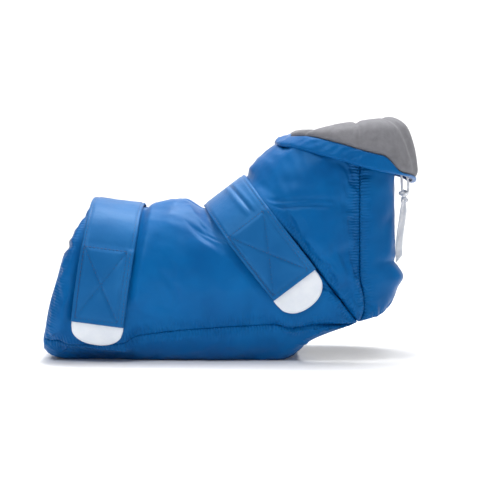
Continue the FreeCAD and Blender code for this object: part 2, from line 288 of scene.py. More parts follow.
def woven(shader, across, along):
    """Height of a fine weave: two sets of ribs in the cloth's own directions, ribs per metre."""
    warp = shader.node("ShaderNodeTexWave", [("Vector", shader.coordinates("UV", (across, across, 1)))],
                       bands_direction="X", Scale=1.0, Distortion=0.0)
    weft = shader.node("ShaderNodeTexWave", [("Vector", shader.coordinates("UV", (along, along, 1)))],
                       bands_direction="Y", Scale=1.0, Distortion=0.0)
    return shader.node("ShaderNodeMath", [(0, warp.outputs["Fac"]), (1, weft.outputs["Fac"])],
                       operation="MULTIPLY").outputs[0]


def crumple(shader, scale, detail=4.0, roughness=0.55):
    """Soft irregular noise in the object's own space."""
    return shader.node("ShaderNodeTexNoise", [("Vector", shader.coordinates("Object", (1, 1, 1)))],
                       Scale=scale, Detail=detail, Roughness=roughness).outputs["Fac"]


def gathers(shader, spacing, reach):
    """Height of the fine gathers beside a seam, from distances in mm that the padding's mesh carries."""
    run = shader.node("ShaderNodeAttribute", attribute_name="gather").outputs["Fac"]
    edge = shader.node("ShaderNodeAttribute", attribute_name="edge").outputs["Fac"]
    stray = shader.node("ShaderNodeMath", [(0, crumple(shader, 70.0))], operation="MULTIPLY")
    stray.inputs[1].default_value = 11.0
    turn = shader.node("ShaderNodeMath", [(0, run), (2, stray.outputs[0])], operation="MULTIPLY_ADD")
    turn.inputs[1].default_value = 2 * math.pi / spacing
    wave = shader.node("ShaderNodeMath", [(0, turn.outputs[0])], operation="SINE")
    fall = shader.node("ShaderNodeMapRange", [("Value", edge)])
    fall.interpolation_type = "SMOOTHSTEP"
    for socket, value in (("From Min", 0.5), ("From Max", reach), ("To Min", 1.0), ("To Max", 0.0)):
        fall.inputs[socket].default_value = value
    faded = shader.node("ShaderNodeMath", [(0, wave.outputs[0]), (1, fall.outputs[0])], operation="MULTIPLY")
    return faded.outputs[0]


def satin_material(name, dark, light, weave=260.0, gathered=False):
    """Satin nylon: fine weave, soft crumples, a bright sheen, and gathers beside the seams of padding."""
    shader = Shader(name, light, 0.42, Sheen_Weight=0.02, Sheen_Roughness=0.35, Specular_IOR_Level=0.38)
    shader.surface.inputs["Specular Tint"].default_value = (0.25, 0.6, 1.0, 1)
    shader.surface.inputs["Sheen Tint"].default_value = (0.55, 0.78, 1.0, 1)
    shader.link("Base Color", shader.blend_color(crumple(shader, 22.0), dark, light))
    shader.link("Roughness", ramp_value(shader, crumple(shader, 60.0), 0.36, 0.5))
    folds = [(gathers(shader, 2.7, 13.0), 0.42, 0.0006)] if gathered else []
    shader.bump(folds + [(crumple(shader, 38.0, 3.0), 0.30, 0.0021),
                         (crumple(shader, 150.0, 3.0), 0.2, 0.0006),
                         (woven(shader, weave, weave), 0.25, 0.00012)])
    return shader.material


def lining_material():
    """Brushed tricot in mid grey."""
    shader = Shader("lining", (0.17, 0.17, 0.185), 0.82, Sheen_Weight=0.06, Sheen_Roughness=0.5)
    color = shader.blend_color(crumple(shader, 160.0), (0.145, 0.145, 0.16), (0.19, 0.19, 0.207))
    shader.link("Base Color", color)
    shader.bump([(crumple(shader, 70.0, 3.0), 0.2, 0.0012), (crumple(shader, 900.0, 2.0), 0.35, 0.0004),
                 (woven(shader, 320.0, 420.0), 0.3, 0.0002)])
    return shader.material


def hook_material():
    """White moulded hook tape: rows of tiny hooks on a matt base."""
    shader = Shader("hook_tape", (0.77, 0.79, 0.84), 0.5, Specular_IOR_Level=0.35, Subsurface_Weight=0.05)
    place = shader.coordinates("UV", (900, 900, 1))
    spots = shader.node("ShaderNodeTexVoronoi", [("Vector", place)], Scale=1.0)
    color = shader.blend_color(crumple(shader, 90.0), (0.72, 0.75, 0.81), (0.8, 0.82, 0.86))
    shader.link("Base Color", color)
    shader.bump([(spots.outputs["Distance"], 0.35, 0.0003)])
    return shader.material


def tape_material():
    """White cotton tie tape in a herringbone weave."""
    shader = Shader("tie_tape", (0.86, 0.87, 0.89), 0.75, Sheen_Weight=0.2)
    color = shader.blend_color(crumple(shader, 300.0), (0.78, 0.8, 0.84), (0.9, 0.91, 0.93))
    shader.link("Base Color", color)
    shader.bump([(woven(shader, 1100.0, 700.0), 0.5, 0.0003), (crumple(shader, 500.0), 0.3, 0.0003)])
    return shader.material


def thread_material(name, color):
    shader = Shader(name, color, 0.55, Sheen_Weight=0.3)
    twist = shader.node("ShaderNodeTexWave", [("Vector", shader.coordinates("Object", (1, 1, 1)))],
                        bands_direction="DIAGONAL", Scale=900.0, Distortion=0.0)
    shader.link("Base Color", shader.blend_color(crumple(shader, 400.0), [c * 0.8 for c in color], color))
    shader.bump([(twist.outputs["Fac"], 0.4, 0.0002)])
    return shader.material


def gel_material():
    """Soft film over gel, with small bubbles."""
    shader = Shader("gel_film", (0.33, 0.6, 0.8), 0.3, Coat_Weight=0.3)
    place = shader.coordinates("Object", (1, 1, 1))
    bubbles = shader.node("ShaderNodeTexVoronoi", [("Vector", place)], Scale=160.0)
    color = shader.blend_color(bubbles.outputs["Distance"], (0.5, 0.75, 0.9), (0.25, 0.52, 0.74))
    shader.link("Base Color", color)
    shader.bump([(bubbles.outputs["Distance"], 0.4, 0.001)])
    return shader.material


def floor_material():
    shader = Shader("floor", (0.9, 0.9, 0.905), 0.6, Specular_IOR_Level=0.2)
    shader.link("Roughness", ramp_value(shader, crumple(shader, 6.0), 0.55, 0.65))
    return shader.material


# ---- geometry of the boot, as arrays of points in mm ------------------------------------------------

def cubic(before, start, end, after, share):
    """The stretch from start to end of a cubic that also passes near the entries before and after."""
    cube, square = share ** 3, share ** 2
    return ((2 * cube - 3 * square + 1) * start + (cube - 2 * square + share) * (end - before) / 2
            + (3 * square - 2 * cube) * end + (cube - square) * (after - start) / 2)


def smooth(values, position):
    """Values at positions of a list, on a cubic that passes through every entry."""
    values = np.asarray(values, float)
    position = np.asarray(position, float)
    last = len(values) - 1
    index = np.clip(np.floor(position).astype(int), 0, last - 1)
    share = position - index
    start, end = values[index], values[index + 1]
    before = np.where(index > 0, values[np.maximum(index - 1, 0)], 2 * start - end)
    after = np.where(index + 1 < last, values[np.minimum(index + 2, last)], 2 * end - start)
    return cubic(before, start, end, after, share)


def ease(value):
    """Smooth step from 0 to 1."""
    value = np.clip(value, 0.0, 1.0)
    return value * value * (3 - 2 * value)


def mix(first, second, share):
    return first + (second - first) * share


def section_power(along):
    return np.where(along > 0, FRONT_POWER, BACK_POWER)


def round_section(angle):
    """Unit section at polar angles from its front: (share towards the front, share of half width)."""
    power = section_power(np.cos(angle))
    radius = (np.abs(np.cos(angle)) ** power + np.abs(np.sin(angle)) ** power) ** (-1 / power)
    return radius * np.cos(angle), radius * np.sin(angle)


def angle_at_share(share):
    """Polar angle at which the unit section is this far towards its front."""
    power = section_power(share)
    return np.arctan2(np.maximum(1 - np.abs(share) ** power, 0.0) ** (1 / power), share)


def boot_point(row, angle):
    """Points of the boot's outer face. Angles from 0 to pi are the -Y side, from the front to the back."""
    along, aside = round_section(angle)
    front = [smooth([point[axis] for point in FRONT], row) for axis in (0, 1)]
    back = [smooth([point[axis] for point in BACK], row) for axis in (0, 1)]
    x = (front[0] + back[0]) / 2 + along * (front[0] - back[0]) / 2
    z = (front[1] + back[1]) / 2 + along * (front[1] - back[1]) / 2
    return np.stack([x, -aside * smooth(HALF_WIDTH, row), z], axis=-1)


def slit_angle(row):
    return np.arcsin(SLIT_HALF / smooth(HALF_WIDTH, row))


def seam_angle(row):
    """Angle of the calf seam on the leg and of the sole seam on the foot."""
    leg = angle_at_share(smooth(CALF_SEAM, np.minimum(row, MITRE_ROW)))
    foot = angle_at_share(smooth(SOLE_SEAM, np.maximum(row - MITRE_ROW, 0.0)))
    return np.where(row <= MITRE_ROW, leg, foot)


def unit(vectors):
    return vectors / np.maximum(np.linalg.norm(vectors, axis=-1, keepdims=True), 1e-12)


def face_normal(face, across, along, turn):
    """Outward unit normals of a face given as a function of two shares."""
    step = 1e-3
    side = face(np.minimum(across + step, 1), along) - face(np.maximum(across - step, 0), along)
    length = face(across, np.minimum(along + step, 1)) - face(across, np.maximum(along - step, 0))
    return unit(np.cross(side, length)) * turn


def leg_wall_face(side):
    """Leg wall from the front slit to the calf seam, with a notch at the bend of the ankle."""
    def face(across, along):
        row = along * mix(NOTCH_ROW, MITRE_ROW, ease((across - 0.30) / 0.32))
        return boot_point(row, side * mix(slit_angle(row), seam_angle(row), across))
    return face


def foot_wall_face(side):
    """Foot wall from the front slit to the sole seam, from the mitre to the toe opening."""
    def face(across, along):
        row = mix(mix(TONGUE_ROW, MITRE_ROW, ease((across - 0.32) / 0.26)), TOE_ROW, along)
        return boot_point(row, side * mix(slit_angle(row), seam_angle(row), across))
    return face


def calf_face(across, along):
    """Calf panel between the two calf seams, under the leg. Its end rises beside the heel."""
    row = along * mix(CALF_END_ROW, MITRE_ROW, np.abs(2 * across - 1) ** CALF_END_POWER)
    seam = seam_angle(row)
    return boot_point(row, mix(seam, 2 * math.pi - seam, across))


def sole_face(across, along):
    """Sole gusset between the two sole seams. Its lower edge arches over the heel."""
    row = mix(mix(SOLE_START_ROW, MITRE_ROW, np.abs(2 * across - 1) ** 2), TOE_ROW, along)
    seam = angle_at_share(smooth(SOLE_SEAM, row - MITRE_ROW))
    return boot_point(row, mix(seam, 2 * math.pi - seam, across))


def noise(points, scale, seed):
    """Smooth repeatable noise from -1 to 1 at points in mm: a few sine waves in fixed directions."""
    draw = np.random.default_rng(seed)
    total = np.zeros(points.shape[:-1])
    waves = 9
    for _ in range(waves):
        way = unit(draw.normal(size=3))
        length = scale * draw.uniform(0.6, 1.7)
        total += np.sin(points @ way * (2 * math.pi / length) + draw.uniform(0, 2 * math.pi))
    return total / math.sqrt(waves * 2)


# ---- straps' sections: what they wrap and how they press the padding ---------------------------------

def strap_point(strap, angle, across):
    """Points of the face that a strap wraps. Negative angles are the +Y side."""
    along, aside = round_section(angle)
    run = strap["middle"] - along * np.where(along > 0, strap["rise"], strap["fall"])
    run_x, run_z = strap["run"]
    x, z = run_x * run - run_z * across, run_z * run + run_x * across
    return np.stack([x, -aside * strap["half_width"], z], -1)


def strap_angle(strap, run):
    """Angle at which a strap reaches a distance along its run."""
    share = strap["middle"] - run
    return float(angle_at_share(np.asarray(share / (strap["rise"] if share > 0 else strap["fall"]))))


def strap_relation(strap, points):
    """The middle of a strap's section beside points, their size against that section, and their distance
    from the stretch that the strap covers."""
    run_x, run_z = strap["run"]
    run = points[..., 0] * run_x + points[..., 2] * run_z
    across = points[..., 2] * run_x - points[..., 0] * run_z
    along = strap["middle"] - run
    along = along / np.where(along > 0, strap["rise"], strap["fall"])
    aside = -points[..., 1] / strap["half_width"]
    power = section_power(along)
    size = (np.abs(along) ** power + np.abs(aside) ** power) ** (1 / power)
    angle = np.arctan2(aside, along)
    first, last = -strap_angle(strap, strap["anchor_end"]), strap_angle(strap, strap["hook_end"])
    beside = np.maximum(np.maximum(strap["left"] - across, across - strap["left"] - STRAP_WIDTH), 0.0)
    past = np.maximum(np.maximum(first - angle, angle - last), 0.0) * strap["half_width"]
    middle = np.stack([run_x * strap["middle"] - run_z * across, np.zeros_like(across),
                       run_z * strap["middle"] + run_x * across], -1)
    return middle, np.maximum(size, TINY), np.hypot(beside, past)


def press_under(strap, points):
    """Push points that stand above a strap's inner face back under it, less and less beside the strap."""
    middle, size, away = strap_relation(strap, points)
    shrink = mix(np.minimum(1 / size, 1.0), 1.0, ease(away / PRESS_REACH))
    return middle + (points - middle) * shrink[..., None]


def rise_to(strap, points, normals):
    """Let the outer face of padding that lies a little below a strap fill up to it."""
    middle, size, away = strap_relation(strap, points)
    out = points - middle
    gap = np.maximum((1 / size - 1) * np.linalg.norm(out, axis=-1) - RISE_SHORT, 0.0)
    facing = ease((np.sum(unit(out) * normals, -1) - 0.2) / 0.5)
    lift = gap * ease((2 * RISE_MOST - gap) / RISE_MOST) * facing * (1 - ease(away / RISE_REACH))
    return points + unit(out) * lift[..., None]


# ---- building blocks for meshes -----------------------------------------------------------------------

def add_mesh(name, points, faces, materials, uvs=None, face_materials=None):
    """Mesh object from points in mm, with smooth shading and an optional map of the cloth, in metres."""
    data = bpy.data.meshes.new(name)
    data.from_pydata([tuple(point) for point in np.asarray(points) * MM], [], faces)
    for material in materials:
        data.materials.append(material)
    if face_materials is not None:
        data.polygons.foreach_set("material_index", face_materials)
    if uvs is not None:
        layer = data.uv_layers.new(name="cloth")
        corners = np.empty(len(data.loops), dtype=np.int32)
        data.loops.foreach_get("vertex_index", corners)
        layer.data.foreach_set("uv", (np.asarray(uvs)[corners] * MM).ravel())
    data.shade_smooth()
    return add_object(name, data)


def closed_sheet(outer, inner):
    """Vertices, faces, and which faces are on the inner side, of a closed body between two equal grids."""
    rows, columns = outer.shape[:2]
    count = rows * columns
    faces, inner_side = [], []

    def index(i, j, side):
        return side * count + i * columns + j

    for i in range(rows - 1):
        for j in range(columns - 1):
            faces.append((index(i, j, 0), index(i + 1, j, 0), index(i + 1, j + 1, 0), index(i, j + 1, 0)))
            inner_side.append(0)
            faces.append((index(i, j, 1), index(i, j + 1, 1), index(i + 1, j + 1, 1), index(i + 1, j, 1)))
            inner_side.append(1)
    border = [(i, 0) for i in range(rows - 1)] + [(rows - 1, j) for j in range(columns - 1)]
    border += [(i, columns - 1) for i in range(rows - 1, 0, -1)]
    border += [(0, j) for j in range(columns - 1, 0, -1)]
    for (i, j), (k, m) in zip(border, border[1:] + border[:1]):
        faces.append((index(k, m, 0), index(i, j, 0), index(i, j, 1), index(k, m, 1)))
        inner_side.append(0)
    points = np.concatenate([outer.reshape(-1, 3), inner.reshape(-1, 3)])
    return points, faces, inner_side


def sheet_body(name, outer, inner, cloth, materials):
    """Closed body between two grids. Cloth is its map in mm; a second material goes on the inner side."""
    points, faces, inner_side = closed_sheet(outer, inner)
    uvs = np.stack([cloth[0].ravel(), cloth[1].ravel()], -1)
    sides = inner_side if len(materials) > 1 else None
    piece = add_mesh(name, points, faces, materials, np.concatenate([uvs, uvs]), sides)
    turn_outward(piece)
    return piece


def turn_outward(piece):
    """Make every face of a closed mesh look outward."""
    mesh = bmesh.new()
    mesh.from_mesh(piece.data)
    bmesh.ops.recalc_face_normals(mesh, faces=mesh.faces)
    mesh.to_mesh(piece.data)
    mesh.free()


def read(items, field, width=1):
    """One field of all items of a mesh's list."""
    values = np.empty(len(items) * width)
    items.foreach_get(field, values)
    return values.reshape(-1, width) if width > 1 else values


def points_of(piece):
    """Points of a mesh in mm."""
    return read(piece.data.vertices, "co", 3) / MM


def move_points(piece, points):
    piece.data.vertices.foreach_set("co", (np.asarray(points) * MM).ravel())
    piece.data.update()


def subdivide(piece, levels=1):
    """Subdivide a mesh and keep the result."""
    modifier = piece.modifiers.new("smooth", "SUBSURF")
    modifier.levels = levels
    keep_modifiers(piece)


def keep_modifiers(piece):
    """Put the shape that a piece's modifiers make into its mesh."""
    shape = piece.evaluated_get(bpy.context.evaluated_depsgraph_get())
    data = bpy.data.meshes.new_from_object(shape)
    piece.modifiers.clear()
    piece.data = data
    data.name = piece.name


# ---- padded panels ----------------------------------------------------------------------------------

# Each panel: face, turn of its normal, and the kind of its edges (across 0, across 1, along 0, along 1).
PANELS = {
    "leg_wall_near": (leg_wall_face(1), 1, ("free", "seam", "free", "seam")),
    "leg_wall_far": (leg_wall_face(-1), -1, ("free", "seam", "free", "seam")),
    "foot_wall_near": (foot_wall_face(1), 1, ("free", "seam", "seam", "free")),
    "foot_wall_far": (foot_wall_face(-1), -1, ("free", "seam", "seam", "free")),
    "calf_panel": (calf_face, 1, ("seam", "seam", "free", "free")),
    "sole_gusset": (sole_face, 1, ("seam", "seam", "free", "free")),
}


def arc_lengths(points, axis):
    """Distance along each grid line from its start."""
    steps = np.linalg.norm(np.diff(points, axis=axis), axis=-1)
    start = np.zeros_like(np.take(steps, [0], axis=axis))
    return np.concatenate([start, np.cumsum(steps, axis=axis)], axis=axis)


def roll(distance, width):
    """Height share of a rolled edge: nought at the edge, one from its width on, like a quarter circle."""
    share = np.clip(distance / width, 0.0, 1.0)
    return np.sqrt(1 - (1 - share) ** 2)


def crowded(count):
    """Shares from 0 to 1 that lie closer together near both ends."""
    even = np.linspace(0, 1, count)
    return even - CROWDING * np.sin(2 * math.pi * even) / (2 * math.pi)


def panel_creases(name, points, across):
    """Extra depth of the creases that a panel shows, mm."""
    depth = np.zeros(points.shape[:-1])
    if name.startswith("foot_wall"):
        fade = ease((0.86 - across) / 0.16) * ease((across - 0.12) / 0.15)
        for height, deep, wide in CREASES:
            level = height + 0.02 * (points[..., 0] - 60) + 0.6 * np.sin(points[..., 0] / 9.0)
            depth += deep * fade * np.exp(-((points[..., 2] - level) / wide) ** 2)
    return depth


def seam_puckers(points, edge_distance, run, seed):
    """Small folds that run off a gathered seam, mm of depth."""
    wave = np.sin(run / 1.9 + 1.6 * noise(points, 30.0, seed))
    wave = wave + 0.6 * np.sin(run / 1.17 + 2.0 * noise(points, 22.0, seed + 1))
    strength = 0.5 + 0.5 * noise(points, 42.0, seed + 2)
    fade = np.exp(-edge_distance / 9.0) * ease(edge_distance / 3.0)
    return 1.0 * wave * np.clip(strength, 0.2, 1.0) * fade


def panel_grid(name):
    """Outer and inner points of a panel at rest, its shares, and the distances along its grid."""
    face, turn, edges = PANELS[name]
    probe_across, probe_along = np.meshgrid(np.linspace(0, 1, 25), np.linspace(0, 1, 25), indexing="ij")
    probe = face(probe_across, probe_along)
    wide = arc_lengths(probe, 0)[-1].max()
    long = arc_lengths(probe, 1)[:, -1].max()
    counts = (int(wide / GRID_STEP) + 1, int(long / GRID_STEP) + 1)
    across, along = np.meshgrid(crowded(counts[0]), crowded(counts[1]), indexing="ij")
    base = face(across, along)
    normal = face_normal(face, across, along, turn)
    from_low_a = arc_lengths(base, 0)
    from_low_b = arc_lengths(base, 1)
    distances = (from_low_a, from_low_a[-1:] - from_low_a, from_low_b, from_low_b[:, -1:] - from_low_b)
    seam_share = np.ones_like(across)
    if name.startswith("leg_wall"):
        seam_share = ease((across - 0.40) / 0.2)
    outer_rise, inner_rise = np.ones_like(across), np.ones_like(across)
    weight = np.full_like(across, 1e-6)
    low_outer, low_inner = np.zeros_like(across), np.zeros_like(across)
    for kind, distance, number in zip(edges, distances, range(4)):
        share = seam_share if (name.startswith("leg_wall") and number == 3) else float(kind == "seam")
        outer_low = mix(EDGE_DEPTH, SEAM_DEPTH, share)
        inner_low = mix(EDGE_DEPTH + 1.6, WALL - 3.0, share)
        free_width = NOTCH_ROLL if (name.startswith("leg_wall") and number == 3) else EDGE_ROLL
        width = mix(free_width, SEAM_ROLL, share)
        rise = roll(distance, width)
        outer_rise = outer_rise * rise
        inner_rise = inner_rise * rise
        near = np.exp(-distance / 4.0)
        weight = weight + near
        low_outer = low_outer + near * outer_low
        low_inner = low_inner + near * inner_low
    outer_edge = low_outer / weight
    inner_edge = low_inner / weight
    outer_depth = mix(outer_edge, PANEL_CROWN[name], outer_rise)
    inner_depth = mix(inner_edge, WALL, inner_rise)
    return base, normal, across, along, outer_depth, inner_depth, distances


def rim_places(base):
    """Distance of a grid's points from its rim, and how far round the rim their nearest spot is, in mm."""
    rim = np.concatenate([base[:-1, 0], base[-1, :-1], base[:0:-1, -1], base[0, ::-1]])
    starts, ways = rim[:-1], np.diff(rim, axis=0)
    sizes = np.maximum(np.linalg.norm(ways, axis=1), 1e-9)
    so_far = np.concatenate([[0.0], np.cumsum(sizes)[:-1]])
    points = base.reshape(-1, 1, 3)
    share = np.clip(((points - starts) * ways).sum(-1) / sizes ** 2, 0, 1)
    away = np.linalg.norm(starts + share[..., None] * ways - points, axis=-1)
    nearest = away.argmin(axis=1)
    rows = np.arange(len(nearest))
    place = so_far[nearest] + share[rows, nearest] * sizes[nearest]
    return away[rows, nearest].reshape(base.shape[:2]), place.reshape(base.shape[:2])


def open_seams(outer):
    """Draw a panel's outer rim back from its neighbours, which leaves a narrow slot."""
    drawn = outer.copy()
    for rim, inside in ((0, 1), (-1, -2)):
        drawn[rim] += unit(outer[inside] - outer[rim]) * SEAM_GAP
        drawn[:, rim] += unit(outer[:, inside] - outer[:, rim]) * SEAM_GAP
    return drawn


def add_panel(name, materials):
    """Closed padded panel before its padding is swollen."""
    base, normal, across, along, outer_depth, inner_depth, distances = panel_grid(name)
    outer = open_seams(base - normal * outer_depth[..., None])
    inner = base - normal * inner_depth[..., None]
    piece = sheet_body(name, outer, inner, (distances[0], distances[2]), materials)
    near_edge, gather = rim_places(base)
    notes = {"across": across, "edge": near_edge, "gather": gather}
    for note, values in notes.items():
        layer = piece.data.attributes.new(note, "FLOAT", "POINT")
        layer.data.foreach_set("value", np.concatenate([values.ravel(), values.ravel()]))
    edge = np.zeros(across.shape, bool)
    edge[0], edge[-1], edge[:, 0], edge[:, -1] = True, True, True, True
    held = np.concatenate([edge.ravel(), edge.ravel()])
    ends = np.empty(len(piece.data.edges) * 2, dtype=np.int32)
    piece.data.edges.foreach_get("vertices", ends)
    sharp = held[ends.reshape(-1, 2)].all(axis=1)
    piece.data.attributes.new("crease_edge", "FLOAT", "EDGE").data.foreach_set("value", sharp.astype(float))
    piece.vertex_groups.new(name="held").add(np.flatnonzero(held).tolist(), 1.0, "REPLACE")
    return piece


# The swelling: cloth settings, frames, and how far points may go in mm, with lower caps in narrow places.
CLOTH = dict(quality=6, mass=0.2, tension_stiffness=12.0, compression_stiffness=12.0, shear_stiffness=4.0,
             bending_stiffness=0.15, use_pressure=True, uniform_pressure_force=3.0,
             vertex_group_mass="held", shrink_min=-0.03)
SWELL_FRAMES = 20
SWELL_CAP = 5.0
SWELL_CAPS = {"sole_gusset": 1.6, "calf_panel": 3.0}


def swell(pieces):
    """Swell closed panels by cloth simulation, their seams held, and keep the shapes within a cap in mm."""
    scene = bpy.context.scene
    starts = {}
    for piece in pieces:
        starts[piece.name] = points_of(piece)
        cloth = piece.modifiers.new("cloth", "CLOTH")
        for setting, value in CLOTH.items():
            setattr(cloth.settings, setting, value)
        cloth.settings.effector_weights.gravity = 0.0
        cloth.point_cache.frame_start = 1
        cloth.point_cache.frame_end = SWELL_FRAMES
    for frame_number in range(1, SWELL_FRAMES + 1):
        scene.frame_set(frame_number)
    shapes = bpy.context.evaluated_depsgraph_get()
    ends = {}
    for piece in pieces:
        ends[piece.name] = points_of(piece.evaluated_get(shapes))
    scene.frame_set(1)
    for piece in pieces:
        piece.modifiers.clear()
        moved = ends[piece.name] - starts[piece.name]
        size = np.linalg.norm(moved, axis=1, keepdims=True)
        most = SWELL_CAPS.get(piece.name, SWELL_CAP)
        move_points(piece, starts[piece.name] + moved * np.minimum(1.0, most / np.maximum(size, 1e-9)))


def bump(value, middle, half_width):
    """Smooth bell from 0 to 1 and back."""
    return np.exp(-((value - middle) / half_width) ** 2)


OPENING_SAG = 9.0
SHIN_RISE = 4.0
SOLE_BULGE = 7.0
SOLE_CREASE = 2.5


def settle(points):
    """Slack that the whole padding takes: one field for all panels, so that their seams stay together."""
    x, y, z = points[..., 0], points[..., 1], points[..., 2]
    moved = points.copy()
    opening = ease((-104.0 - x) / 42.0) * (0.95 * bump(z, 108.0, 30.0) + 0.75 * bump(z, 56.0, 34.0))
    moved[..., 0] -= OPENING_SAG * opening * (1 - 0.3 * bump(z, 104.0, 4.0))
    between_straps = bump(x, -44.0, 20.0) * ease((z - 78.0) / 55.0)
    moved[..., 2] += SHIN_RISE * between_straps
    sole_side = ease((x - 124.0) / 24.0)
    moved[..., 0] += (SOLE_BULGE * bump(z, 76.0, 9.0) * sole_side
                      - SOLE_CREASE * bump(z, 90.0, 3.0) * sole_side)
    return moved


def crease_and_press(piece):
    """Fine creases and gathers of a panel at full detail, and the hollows its straps press."""
    name = piece.name
    notes = piece.data.attributes
    across, edge, gather = [read(notes[note].data, "value") for note in ("across", "edge", "gather")]
    points = points_of(piece)
    normals = read(piece.data.vertices, "normal", 3)
    seed = 7 + sum(map(ord, name))
    depth = panel_creases(name, points, across)
    depth += seam_puckers(points, edge, gather, seed)
    depth += 0.6 * noise(points, 34.0, seed + 5) * ease(edge / 16.0)
    depth += 0.35 * noise(points, 13.0, seed + 6) * ease(edge / 9.0)
    points = settle(points - normals * depth[:, None])
    for strap in (LEG_STRAP, ANKLE_STRAP):
        points = press_under(strap, rise_to(strap, points, normals))
    points[:, 2] = np.maximum(points[:, 2], 0.0)
    move_points(piece, points)


# ---- gel packs --------------------------------------------------------------------------------------

# Windows of the packs, as shares across and along each kind of panel.
GEL_WINDOWS = {
    "leg_wall": [((0.08, 0.92), (0.05, 0.34)), ((0.08, 0.92), (0.37, 0.66))],
    "foot_wall": [((0.10, 0.92), (0.08, 0.46)), ((0.10, 0.92), (0.50, 0.93))],
    "calf_panel": [((0.07, 0.93), (0.05, 0.32)), ((0.07, 0.93), (0.35, 0.62)), ((0.07, 0.93), (0.65, 0.92))],
    "sole_gusset": [((0.10, 0.90), (0.06, 0.48)), ((0.10, 0.90), (0.52, 0.93))],
}
GEL_DEPTH = 11.8
GEL_HALF = 1.9
GEL_RIM = 0.35
GEL_ROLL = 9.0


def add_gel_packs(name, material):
    """Soft packs with pinched rims, inside a panel against its lining."""
    face, turn, _ = PANELS[name]
    points, faces, uvs = [], [], []
    for (low_a, high_a), (low_b, high_b) in GEL_WINDOWS[name.removesuffix("_near").removesuffix("_far")]:
        shares = np.linspace(low_a, high_a, 34), np.linspace(low_b, high_b, 26)
        across, along = np.meshgrid(*shares, indexing="ij")
        base = face(across, along)
        normal = face_normal(face, across, along, turn)
        away, _ = rim_places(base)
        half = GEL_RIM + (GEL_HALF - GEL_RIM) * roll(away, GEL_ROLL) * (0.92 + 0.08 * noise(base, 24.0, 17))
        sheets = [settle(base - normal * (GEL_DEPTH + side * half)[..., None]) for side in (-1, 1)]
        pack, pack_faces, _ = closed_sheet(*sheets)
        faces += [tuple(number + len(points) for number in corners) for corners in pack_faces]
        points += list(pack)
        flat = np.stack([arc_lengths(base, 0).ravel(), arc_lengths(base, 1).ravel()], -1)
        uvs += [flat, flat]
    piece = add_mesh(name + "_gel", points, faces, [material], np.concatenate(uvs))
    turn_outward(piece)
    return piece


# ---- toe cuff ---------------------------------------------------------------------------------------

def cuff_point(across, along, depth):
    """Points of the turned cuff, from the fold on top of the walls down to its free edge."""
    angle = mix(slit_angle(TOE_ROW), 2 * math.pi - slit_angle(TOE_ROW), across)
    point = boot_point(TOE_ROW, angle)
    wall_up = unit(point - boot_point(TOE_ROW - 0.2, angle))
    turn = 1e-3
    around = boot_point(TOE_ROW, angle + turn) - boot_point(TOE_ROW, angle - turn)
    outward = unit(np.cross(around, wall_up))
    reach = np.sin(math.pi * across)
    drop = mix(*CUFF_DROP, reach ** 3) + CORNER_DROP * bump(np.minimum(across, 1 - across), 0.065, 0.045)
    flare = mix(*CUFF_FLARE, reach ** 2)
    share = np.clip(along, 0, 1)

    def profile(at):
        same = 0 * flare
        knots = [-1.08 * WALL + same, -0.45 * WALL + same, 1 + 0.42 * flare, 0.88 * flare, 1.03 * flare]
        heights = [CUFF_TUCK + same, CUFF_RISE + same, 0.2 * CUFF_RISE - 0.02 * drop, -0.5 * drop, -drop]
        return [smooth_between(list_of, 4 * at) for list_of in (knots, heights)]

    step = 1e-3
    ahead, behind = profile(share + step), profile(share - step)
    slope = np.hypot(ahead[0] - behind[0], ahead[1] - behind[1])
    here = profile(share)
    out = here[0] + depth * (ahead[1] - behind[1]) / slope
    up = here[1] - depth * (ahead[0] - behind[0]) / slope
    return point + outward * out[..., None] + wall_up * up[..., None]


def smooth_between(knots, position):
    """The smooth curve of a list, where every entry of the list is itself an array."""
    knots = np.stack(np.broadcast_arrays(*knots))
    last = len(knots) - 1
    index = np.clip(np.floor(position).astype(int), 0, last - 1)
    share = position - index

    def entry(number):
        return np.take_along_axis(knots, number[None], 0)[0]

    start, end = entry(index), entry(index + 1)
    before = np.where(index > 0, entry(np.maximum(index - 1, 0)), 2 * start - end)
    after = np.where(index + 1 < last, entry(np.minimum(index + 2, last)), 2 * end - start)
    return cubic(before, start, end, after, share)


# Quilting lines of the cuff: share across at the fold and at the border band.
CUFF_QUILTS = [(0.13, 0.12), (0.25, 0.285), (0.345, 0.395), (0.46, 0.46), (0.54, 0.54), (0.655, 0.605),
               (0.75, 0.715), (0.87, 0.88)]


# Tucks of the border near the dorsal corner: start, end (mm round from the corner, mm down) and depth.
BORDER_TUCKS = [((3.0, 3.0), (24.0, 13.0), 1.9), ((9.0, 1.0), (30.0, 8.0), 0.9),
                ((2.0, 9.0), (14.0, 14.0), 1.2)]
BORDER_NARROW = 2.2
BORDER_TAPER = (137.0, 156.0)


